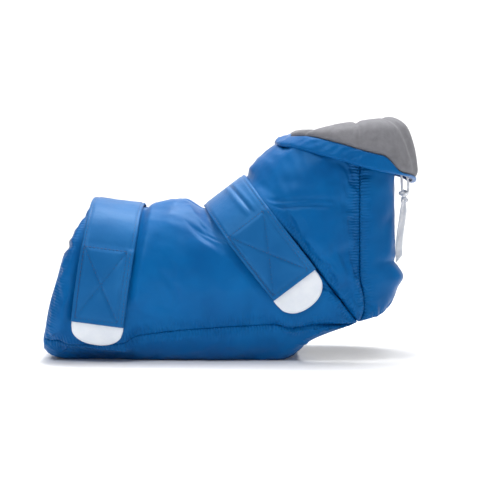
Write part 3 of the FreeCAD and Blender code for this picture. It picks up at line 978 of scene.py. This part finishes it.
def cuff_part(name, materials, quilted, seed):
    """Closed padded part of the cuff: its quilted lining side, or the border band below that."""
    rows = 22 if quilted else 14
    across, along = np.meshgrid(np.linspace(0, 1, 150), np.linspace(0, 1, rows), indexing="ij")
    fine_across, fine = np.meshgrid(np.linspace(0, 1, 150), np.linspace(0, 1, 60), indexing="ij")
    length = arc_lengths(cuff_point(fine_across, fine, 0 * fine), 1)
    edge_x = cuff_point(fine_across, fine, 0 * fine)[:, -1, 0]
    taper_start, taper_end = BORDER_TAPER
    tall = mix(BORDER_TALL, BORDER_NARROW, ease((edge_x - taper_start) / (taper_end - taper_start)))
    seam = np.array([np.interp(line[-1] - min(high, 0.62 * line[-1]), line, fine[0])
                     for line, high in zip(length, tall)])
    start, end = (0.0, seam[:, None]) if quilted else (seam[:, None], 1.0)
    share = mix(start, end, along)
    middle = cuff_point(across, share, CUFF_THICK / 2 + 0 * across)
    reach_a = arc_lengths(middle, 0)
    reach_b = arc_lengths(middle, 1)
    ends_a = np.minimum(reach_a, reach_a[-1:] - reach_a)
    ends_b = np.minimum(reach_b, reach_b[:, -1:] - reach_b)
    puff = roll(ends_a, 7.0) * roll(ends_b, 5.5 if quilted else 3.6)
    half = mix(0.7, CUFF_THICK / 2 + (1.2 if quilted else -0.4), puff)
    groove = np.zeros_like(across)
    if quilted:
        width = reach_a[-1:]
        for fold, border in CUFF_QUILTS:
            away = np.abs(across - mix(fold, border, along)) * width
            groove = np.maximum(groove, np.exp(-(away / 2.3) ** 1.3))
        half = half * (1 - 0.74 * groove)
    half_out = half + 0.35 * noise(middle, 20.0, seed)
    if not quilted:
        gathers = np.sin(reach_a / 1.7 + 2.2 * noise(middle, 25.0, seed + 1) + 0.25 * reach_b)
        half_out = half_out + 0.5 * gathers * puff * np.clip(0.3 + noise(middle, 40.0, seed + 2), 0, 1)
        corner = np.minimum(reach_a, reach_a[-1:] - reach_a)
        for start, end, deep in BORDER_TUCKS:
            away = line_distance(corner, reach_b, start, end)
            half_out = half_out - deep * puff * np.exp(-(away / 1.5) ** 2)
    else:
        pulls = np.sin(reach_a / 1.9 + 1.5 * noise(middle, 25.0, seed + 3) + 0.3 * ends_b)
        low = reach_b[:, -1:] - reach_b
        patches = np.clip(0.4 + noise(middle, 45.0, seed + 4), 0, 1)
        half_out = half_out + 0.45 * pulls * puff * np.exp(-low / 8.0) * patches
    outer = cuff_point(across, share, CUFF_THICK / 2 - half_out)
    inner = cuff_point(across, share, CUFF_THICK / 2 + half)
    piece = sheet_body(name, outer, inner, (reach_a, reach_b), materials)
    subdivide(piece)
    return piece


# ---- straps -----------------------------------------------------------------------------------------

STITCH_LONG = 2.4
STITCH_GAP = 0.9
THREAD = 0.42
FOLD_TURN = 0.03
HEM = 3.0
LANDING_INSET = 3.0
LANDING_SUNK = -0.6
TAB_POWER = 2.2
TAB_ROUND = {"leg_strap": 13.0, "ankle_strap": 17.0}
TAB_SHORT = {"leg_strap": 2.0, "ankle_strap": 0.0}


def strap_surface(strap, runs_at, across, height):
    """Points of a strap at distances along it (as angles), across it and above the face it wraps."""
    place = strap_point(strap, runs_at, strap["left"] + across)
    step = 1e-3
    ahead = strap_point(strap, runs_at + step, strap["left"] + across)
    behind = strap_point(strap, runs_at - step, strap["left"] + across)
    width_way = np.array([-strap["run"][1], 0.0, strap["run"][0]])
    outward = unit(np.cross(ahead - behind, width_way))
    return place + outward * np.asarray(height)[..., None]


def even_angles(strap, first, last, step):
    """Angles at equal distances along a strap, and those distances."""
    fine = np.linspace(first, last, 600)
    line = strap_point(strap, fine, strap["left"] + STRAP_WIDTH / 2 + 0 * fine)
    length = np.concatenate([[0.0], np.cumsum(np.linalg.norm(np.diff(line, axis=0), axis=1))])
    count = int(length[-1] / step) + 1
    distances = np.linspace(0, length[-1], count)
    return np.interp(distances, length, fine), distances


def groove(distance, width, depth):
    return depth * np.exp(-(distance / width) ** 2)


def line_distance(u, v, start, end):
    """Distance of points (u, v) from a straight stretch."""
    way = np.array(end) - np.array(start)
    size = np.hypot(*way)
    share = np.clip(((u - start[0]) * way[0] + (v - start[1]) * way[1]) / size ** 2, 0, 1)
    return np.hypot(u - start[0] - share * way[0], v - start[1] - share * way[1])


def stitch_lines(box):
    """Stitched box with a cross, as stretches in (across, along) mm."""
    left, right, top, bottom = box
    corners = [(left, top), (right, top), (right, bottom), (left, bottom)]
    lines = list(zip(corners, corners[1:] + corners[:1]))
    return lines + [(corners[0], corners[2]), (corners[1], corners[3])]


def add_stitches(surface_at, lines, points, faces):
    """Append thread stitches that lie along stretches of a surface."""
    sides = 5
    for start, end in lines:
        start, end = np.array(start, float), np.array(end, float)
        length = np.hypot(*(end - start))
        count = max(int(length / (STITCH_LONG + STITCH_GAP)), 1)
        for number in range(count):
            shares = (number + np.array([0.12, 0.3, 0.5, 0.7, 0.88])) / count
            spots = start + (end - start) * shares[:, None]
            ring_size = np.array([0.35, 0.95, 1.0, 0.95, 0.35]) * THREAD / 2
            lift = np.array([-0.25, 0.05, 0.12, 0.05, -0.25])
            here = surface_at(spots[:, 0], spots[:, 1], lift)
            above = surface_at(spots[:, 0], spots[:, 1], lift + 1.0)
            up = unit(above - here)
            along = unit(here[-1] - here[0])
            aside = unit(np.cross(up, along))
            base = len(points)
            for ring in range(len(shares)):
                for side in range(sides):
                    angle = 2 * math.pi * side / sides
                    offset = aside[ring] * math.cos(angle) + up[ring] * math.sin(angle)
                    points.append(here[ring] + offset * ring_size[ring])
            for ring in range(len(shares) - 1):
                for side in range(sides):
                    low, high = base + ring * sides, base + (ring + 1) * sides
                    other = (side + 1) % sides
                    faces.append((low + side, low + other, high + other, high + side))
            faces.append(tuple(base + side for side in range(sides - 1, -1, -1)))
            faces.append(tuple(base + (len(shares) - 1) * sides + side for side in range(sides)))


class StrapSet:
    """Anchor, band, stitched pad, hook tab and landing patch of one strap."""

    def __init__(self, strap, materials):
        self.strap = strap
        self.name = strap["name"]
        self.materials = materials
        self.first = -strap_angle(strap, strap["anchor_end"])
        self.lift = -strap_angle(strap, strap["lift"])
        self.pad = strap_angle(strap, strap["pad"])
        self.pad_end = strap_angle(strap, strap["pad_end"])
        self.hook_end = strap_angle(strap, strap["hook_end"])
        self.seed = 50 + len(self.name)

    def distance(self, angle, origin):
        """Signed distance along the strap from an angle of origin."""
        step = np.linspace(0, 1, 200)
        across = self.strap["left"] + STRAP_WIDTH / 2 + 0 * step
        line = strap_point(self.strap, mix(origin, angle, step), across)
        return float(np.linalg.norm(np.diff(line, axis=0), axis=1).sum())

    def webbing(self, name, first, last, end_round, box, box_origin):
        """Padded webbing between two angles, with hems, a stitched box and its gathers."""
        strap = self.strap
        angles, distances = even_angles(strap, first, last, 1.7)
        columns = np.linspace(0, STRAP_WIDTH, 41)
        angle, across = np.meshgrid(angles, columns, indexing="ij")
        run, _ = np.meshgrid(distances, columns, indexing="ij")
        v = run - box_origin
        rough = np.stack([across, run, 0 * run], -1)
        left, right, top, bottom = box
        edge = np.minimum(across, STRAP_WIDTH - across)
        on_pad = ease((v + 2.0) / 4.0) if end_round else np.zeros_like(v)
        outer = mix(BAND_OUT, PAD_OUT, on_pad)
        inner = mix(BAND_IN, PAD_IN, on_pad)
        puff = roll(edge, 3.0)
        outer = inner + 0.5 + (outer - inner - 0.5) * puff
        outer = outer + 0.28 * noise(rough, 26.0, self.seed) * puff
        outer = outer - groove(np.abs(edge - HEM), 0.9, 0.85)
        inside = (np.minimum(v - top, bottom - v) > 0) & (across > left) & (across < right)
        quilt = np.full_like(v, 99.0)
        for start, end in stitch_lines(box):
            quilt = np.minimum(quilt, line_distance(across, v, start, end))
        outer = outer - groove(quilt, 1.1, 1.15)
        outer = outer + np.where(inside, 0.35 * (1 - np.exp(-quilt / 3.0)), 0.0)
        above = np.where(v < top, top - v, 99.0) if end_round else np.where(v > bottom, v - bottom, 99.0)
        gathers = np.sin(across * (2 * math.pi / 2.3) + 0.6 * np.sin(v / 3.0))
        outer = outer + 0.4 * gathers * np.exp(-above / 7.0) * puff
        outer, across_moved = self.folds(outer, across, v, edge)
        if end_round:
            squeeze = roll(distances[-1] - distances + 0.25, 2.2)
        else:
            squeeze = roll(distances - distances[0] + 0.25, 2.2)
        outer = inner + 0.35 + (outer - inner - 0.35) * squeeze[:, None]
        top_face = strap_surface(strap, angle, across_moved, outer)
        low_face = strap_surface(strap, angle, across_moved, inner)
        points, faces, inner_side = closed_sheet(top_face, low_face)
        uvs = np.stack([across.ravel(), run.ravel()], -1)
        uvs = np.concatenate([uvs, uvs])
        points = list(points)
        cloth_faces = len(faces)

        def surface_at(u, w, lift):
            at = np.interp(w + box_origin, distances, angles)
            row = np.clip((w + box_origin) / distances[-1] * (len(distances) - 1), 0, len(distances) - 1)
            height = outer[np.round(row).astype(int), np.round(u / STRAP_WIDTH * 40).astype(int)]
            return strap_surface(strap, at, u, height + lift)

        lines = stitch_lines(box)
        hem_start, hem_end = distances[0] - box_origin + HEM, distances[-1] - box_origin - HEM
        for place in (HEM, STRAP_WIDTH - HEM):
            lines.append(((place, hem_start), (place, hem_end)))
        add_stitches(surface_at, lines, points, faces)
        extra = len(points) - len(uvs)
        uvs = np.concatenate([uvs, np.zeros((extra, 2))])
        kinds = [0] * cloth_faces + [1] * (len(faces) - cloth_faces)
        piece = add_mesh(name, points, faces, self.materials, uvs, kinds)
        turn_outward(piece)
        return piece

    def folds(self, outer, across, v, edge):
        """Soft folds of the band: a lengthwise tuck on the ankle strap, slight waves on both."""
        waver = 0.5 * np.sin(v / 23.0 + self.seed) * np.ones_like(across)
        if self.name == "ankle_strap":
            line = 33.0 + 0.07 * (v + 20)
            fade = ease((-v - 1.0) / 8.0) * ease((v + 75.0) / 20.0)
            outer = outer - groove(across - line, 1.3, 1.3) * fade
            outer = (outer + groove(across - line + 4.0, 2.6, 1.0) * fade
                     + groove(across - line - 3.4, 2.0, 0.7) * fade)
        return outer, across + waver

    def hook_tab(self, material):
        """White hook tab with a rounded end, under the pad."""
        strap = self.strap
        start = mix(self.pad, self.pad_end, 0.15)
        angles, distances = even_angles(strap, start, self.hook_end, 1.2)
        columns = np.linspace(0, 1, 41)
        angle, share = np.meshgrid(angles, columns, indexing="ij")
        along, _ = np.meshgrid(np.linspace(0, 1, len(angles)), columns, indexing="ij")
        round_end = (1 - np.abs(2 * share - 1) ** TAB_POWER) ** (1 / TAB_POWER)
        cut = (TAB_SHORT[self.name] + TAB_ROUND[self.name] * (1 - round_end)) / strap["fall"]
        angle = mix(start, self.hook_end - cut, along)
        across = mix(0.5, STRAP_WIDTH - 0.8, share)
        edge = np.minimum(np.minimum(share, 1 - share) * STRAP_WIDTH, (1 - along) * distances[-1])
        height = BAND_IN + 0.35 + 0.75 * roll(edge, 1.0)
        return sheet_body(self.name + "_hook", strap_surface(strap, angle, across, height),
                          strap_surface(strap, angle, across, BAND_IN + 0 * height),
                          (across, along * distances[-1]), [material])

    def landing_patch(self, material):
        """Loop pile patch sewn on the wall, where the hook tab lands."""
        strap = self.strap
        first, last = mix(self.pad, self.pad_end, 0.2), mix(self.pad, self.pad_end, 0.95)
        angles, distances = even_angles(strap, first, last, 1.5)
        columns = np.linspace(LANDING_INSET, STRAP_WIDTH - LANDING_INSET, 37)
        angle, across = np.meshgrid(angles, columns, indexing="ij")
        run, _ = np.meshgrid(distances, columns, indexing="ij")
        beside = np.minimum(across - LANDING_INSET, STRAP_WIDTH - LANDING_INSET - across)
        edge = np.minimum(beside, np.minimum(run, distances[-1] - run))
        rough = np.stack([across, run, 0 * run], -1)
        height = 0.2 + 0.5 * roll(edge, 1.0) + 0.12 * noise(rough, 2.6, self.seed + 9) * (edge > 0.5)
        return sheet_body(self.name + "_landing", strap_surface(strap, angle, across, height),
                          strap_surface(strap, angle, across, LANDING_SUNK + 0 * height), (across, run),
                          [material])


def fold_ends(strap, angle):
    """Points under a strap's middle line just before and just past a fold, in metres."""
    half_way, under = np.array(STRAP_WIDTH / 2), np.array(BAND_IN)
    return [strap_surface(strap, np.array(angle + turn), half_way, under) * MM
            for turn in (-FOLD_TURN, FOLD_TURN)]


# ---- tie --------------------------------------------------------------------------------------------

def route_curve(name, route, radius, material):
    """Round cord on a smooth spline pulled by a route's points."""
    data = bpy.data.curves.new(name, "CURVE")
    data.dimensions = "3D"
    spline = data.splines.new("NURBS")
    spline.points.add(len(route) - 1)
    for point, (x, z) in zip(spline.points, route):
        point.co = (x * MM, TIE_Y * MM, z * MM, 1.0)
    spline.order_u = 3
    spline.use_endpoint_u = True
    data.resolution_u = 8
    data.bevel_depth = radius * MM
    data.bevel_resolution = 5
    data.use_fill_caps = True
    if material:
        data.materials.append(material)
    return add_object(name, data)


def route_points(route):
    """Points along a route's smooth spline, in mm."""
    line = route_curve("route", route, 0.0, None)
    mesh = bpy.data.meshes.new_from_object(line)
    points = np.array([vertex.co[:] for vertex in mesh.vertices]) / MM
    bpy.data.objects.remove(line)
    bpy.data.meshes.remove(mesh)
    return points


def even_line(points, count):
    """A line resampled at equal distances."""
    length = np.concatenate([[0.0], np.cumsum(np.linalg.norm(np.diff(points, axis=0), axis=1))])
    at = np.linspace(0, length[-1], count)
    return np.stack([np.interp(at, length, points[:, axis]) for axis in range(3)], -1), at


def add_tie_tail(material):
    """Flat woven tail with a slanted end, that creases lengthwise below the knot."""
    line, along = even_line(route_points(TAIL_ROUTE), 46)
    forward = unit(np.gradient(line, axis=0))
    thick_way = np.array([0.0, 1.0, 0.0])
    wide_way = unit(np.cross(forward, thick_way))
    share = along / along[-1]
    width = TAPE_WIDE * (0.62 + 0.38 * ease(share / 0.22))
    columns = np.linspace(-1, 1, 15)
    rows = []
    for side in (-1, 1):
        half = 0.34 - 0.12 * np.abs(columns) ** 4
        fold = 0.9 * np.exp(-share[:, None] / 0.16) * np.cos(columns * 4.6)[None]
        ripple = 0.25 * np.sin(along[:, None] / 3.4 + columns[None] * 1.5)
        slant = np.maximum(share - 0.86, 0.0)[:, None] * columns[None] * 24.0 * -1.0
        point = (line[:, None] + wide_way[:, None] * (columns[None] * width[:, None] / 2)[..., None]
                 + thick_way * (fold + ripple + side * half[None])[..., None]
                 + forward[:, None] * slant[..., None])
        rows.append(point)
    down, across = np.meshgrid(along, columns * TAPE_WIDE / 2, indexing="ij")
    return sheet_body("tie_tail_tape", rows[0], rows[1], (across, down), [material]), line


def tube(name, line, radii, sides, material, closed):
    """Tube along a line of points."""
    count = len(line)
    forward = np.roll(line, -1, 0) - np.roll(line, 1, 0) if closed else np.gradient(line, axis=0)
    forward = unit(forward)
    points, uvs, faces = [], [], []
    helper = np.array([0.3, 0.9, 0.2])
    for index in range(count):
        aside = unit(np.cross(forward[index], helper))
        up = np.cross(aside, forward[index])
        for side in range(sides):
            angle = 2 * math.pi * side / sides
            points.append(line[index] + (aside * math.cos(angle) + up * math.sin(angle)) * radii[index])
            uvs.append((side * 1.0, index * 1.0))
    rings = count if closed else count - 1
    for index in range(rings):
        low, high = index * sides, (index + 1) % count * sides
        for side in range(sides):
            other = (side + 1) % sides
            faces.append((low + side, low + other, high + other, high + side))
    if not closed:
        faces.append(tuple(range(sides - 1, -1, -1)))
        faces.append(tuple((count - 1) * sides + side for side in range(sides)))
    return add_mesh(name, points, faces, [material], uvs)


def add_knot(name, middle, half_height, half_width, material, turn):
    """Overhand knot: a soft cord on a trefoil, squeezed to its size."""
    t = np.linspace(0, 2 * math.pi, 72, endpoint=False)
    raw = np.stack([np.sin(t) + 2 * np.sin(2 * t), -np.sin(3 * t), np.cos(t) - 2 * np.cos(2 * t)], -1)
    raw = raw / np.abs(raw).max(axis=0)
    cord = 0.44 * half_height
    spread = np.array([half_width - cord, half_width * 0.75 - cord, half_height - cord])
    cosine, sine = math.cos(turn), math.sin(turn)
    turned = np.stack([raw[:, 0] * cosine - raw[:, 2] * sine, raw[:, 1],
                       raw[:, 0] * sine + raw[:, 2] * cosine], -1)
    line = turned * spread + np.array([middle[0], TIE_Y, middle[1]])
    radii = cord * (1 + 0.12 * np.sin(5 * t))
    return tube(name, line, radii, 12, material, True)


def add_anchor(material):
    """Folded tab of tape that is sewn under the cuff and holds the loop."""
    low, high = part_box("tie_anchor")
    low, high = np.array(low) / MM, np.array(high) / MM
    across, up = np.meshgrid(np.linspace(0, 1, 12), np.linspace(0, 1, 16), indexing="ij")
    edge = np.minimum(np.minimum(across, 1 - across) * (high[0] - low[0]), (1 - up) * (high[2] - low[2]))
    pinch = 1 - 0.25 * np.exp(-((up - 0.55) / 0.05) ** 2)
    half = 0.5 + (high[1] - low[1] - 1.0) / 2 * roll(edge + 0.2, 1.6) * pinch
    x = mix(low[0], high[0], across)
    z = mix(low[2], high[2], up)
    middle_y = (low[1] + high[1]) / 2
    grids = [np.stack([x, middle_y + side * half, z], -1) for side in (-1, 1)]
    piece = sheet_body("tie_anchor_tab", *grids, (x, z), [material])
    subdivide(piece)
    return piece


# ---- the whole wrap -----------------------------------------------------------------------------------

add_camera()
tape = tape_material()
loop = route_curve("tie_loop_cord", LOOP_ROUTE, CORD_DIA / 2, tape)
tail, tail_line = add_tie_tail(tape)
knots = [add_knot("tie_knot_over", (158.9, 152.3), 3.6, 4.3, tape, 0.3),
         add_knot("tie_knot_under", (159.6, 146.6), 3.1, 3.9, tape, 1.3)]
anchor = add_anchor(tape)
for piece, node in ((loop, "tie_loop"), (tail, "tie_tail"), (knots[0], "tie_knot_upper"),
                    (knots[1], "tie_knot_lower"), (anchor, "tie_anchor")):
    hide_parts(node)
    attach(piece, "wrap")

add_studio()
shell = satin_material("shell_fabric", (0.0, 0.072, 0.25), (0.0, 0.108, 0.335), gathered=True)
lining = lining_material()
panels = [add_panel(name, [shell, lining]) for name in PANELS]
swell(panels)
for panel in panels:
    name = panel.name
    subdivide(panel)
    crease_and_press(panel)
    panel.name = name + "_padding"
    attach(panel, "wrap")
    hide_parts(name + "_cover", name + "_filling", name + "_lining")

cuff = cuff_part("toe_cuff_padding", [lining, shell], True, 3)
border = cuff_part("toe_cuff_border", [shell, shell], False, 4)
CUFF_NODES = ("toe_cuff_lining", "toe_cuff_filling", "toe_cuff_shell")
for piece, slot, nodes in ((cuff, "lining_fabric", CUFF_NODES), (border, "shell_fabric", ("toe_cuff_band",))):
    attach(piece, "wrap")
    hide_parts(*nodes)

webbing = satin_material("strap_webbing", (0.004, 0.088, 0.27), (0.012, 0.125, 0.345), 420.0)
thread = thread_material("strap_thread", (0.002, 0.03, 0.13))
hook = hook_material()
loops = thread_material("loop_tape", (0.004, 0.07, 0.24))
ROOT_BOX = (4.0, 44.0, 4.0, 40.0)
for strap, box in ((LEG_STRAP, (3.2, 41.8, 1.5, 0.0)), (ANKLE_STRAP, (3.6, 42.2, 1.5, 0.0))):
    made = StrapSet(strap, [webbing, thread])
    top = 0.0
    pad_length = made.distance(made.pad_end, made.pad)
    far = made.webbing(made.name + "_root", made.first, top, False, ROOT_BOX, 0.0)
    near_box = (box[0], box[1], box[2], pad_length - 4.0)
    near = made.webbing(made.name + "_end", top, made.pad_end, True, near_box, made.distance(made.pad, top))
    over, end = made.name + "_over", made.name + "_end"
    behind, ahead = fold_ends(strap, made.lift)
    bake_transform(far, "wrap", over, start=tuple(behind), end=tuple(ahead))
    behind, ahead = fold_ends(strap, made.pad)
    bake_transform(near, over, end, start=tuple(behind), end=tuple(ahead))
    tab = made.hook_tab(hook)
    landing = made.landing_patch(loops)
    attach(tab, end)
    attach(landing, "wrap")
    for piece, slot, nodes in ((far, "strap_webbing", ("_anchor",)),
                               (near, "strap_webbing", ("_band", "_pad")),
                               (tab, "hook_tape", ("_hook_tab",)),
                               (landing, "loop_tape", ("_loop_patch",))):
        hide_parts(*[made.name + node for node in nodes])

gel = gel_material()
for name in PANELS:
    packs = add_gel_packs(name, gel)
    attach(packs, "wrap")
    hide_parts(name + "_gel_packs")
